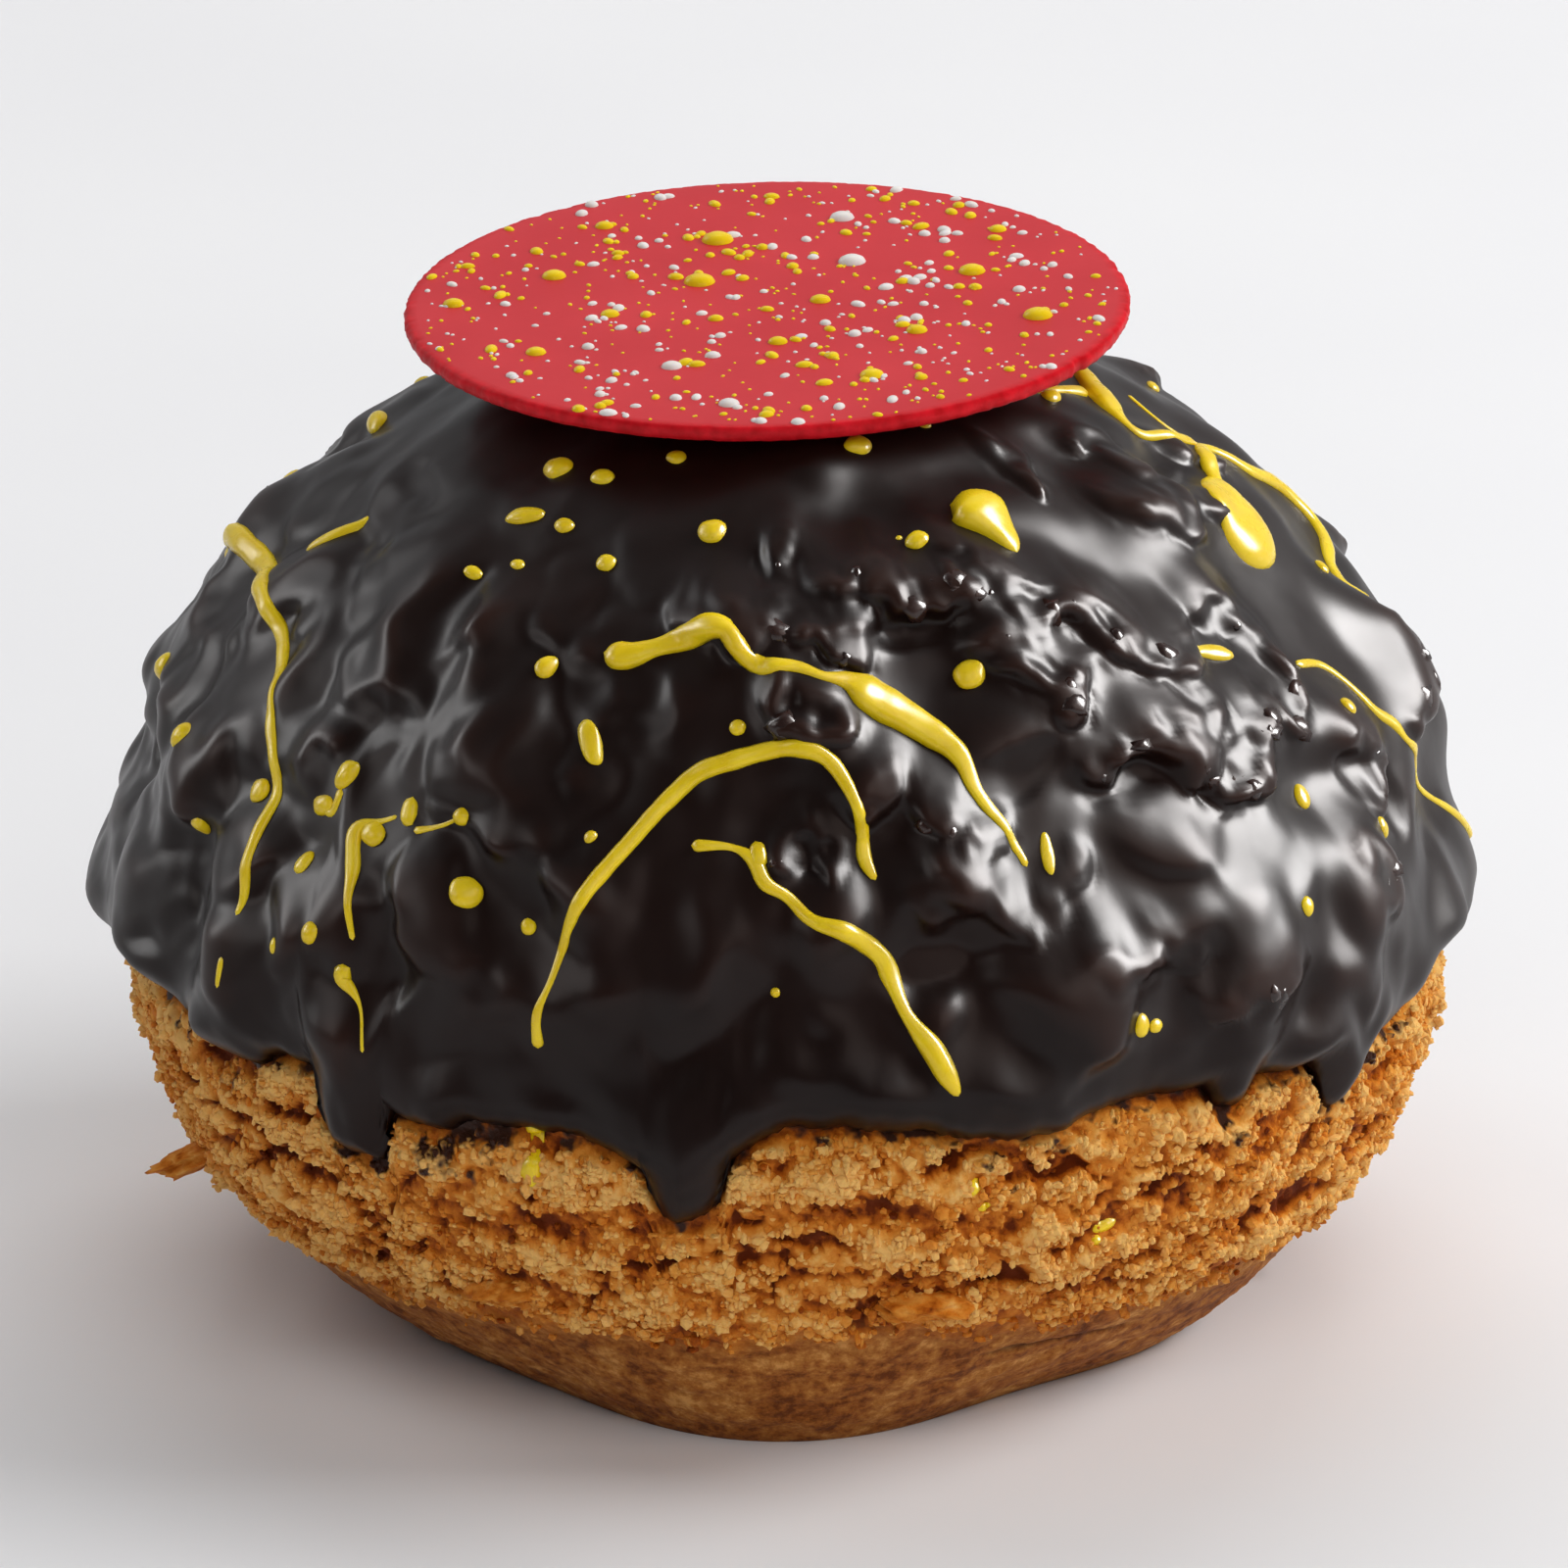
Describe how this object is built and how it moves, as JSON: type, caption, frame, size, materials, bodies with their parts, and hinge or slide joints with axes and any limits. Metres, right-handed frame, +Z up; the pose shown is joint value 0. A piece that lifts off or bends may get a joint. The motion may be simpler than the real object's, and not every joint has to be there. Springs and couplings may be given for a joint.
{
  "type": "cream puff",
  "caption": "Round choux bun with a crumbly crust, a lumpy dark chocolate coat, yellow drizzle and a thin speckled red chocolate oval on top.",
  "frame": {"origin": "middle of the flat underside that the bun rests on, on the bun's axis", "axes": "+Z up along the bun's axis, the pictured front faces -Y, +X to the right seen from the front"},
  "size_m": [0.0929, 0.0913, 0.071],
  "materials": {
    "crust": "baked crumbly crust, golden brown",
    "dark_chocolate": "set dark chocolate, satin gloss, with glossy yellow drizzle",
    "red_chocolate": "smooth red coloured chocolate, satin, with yellow and white speckles"
  },
  "bodies": {
    "root": {"bun": "crust", "coat": "dark_chocolate", "plaque": "red_chocolate"}
  },
  "joints": []
}
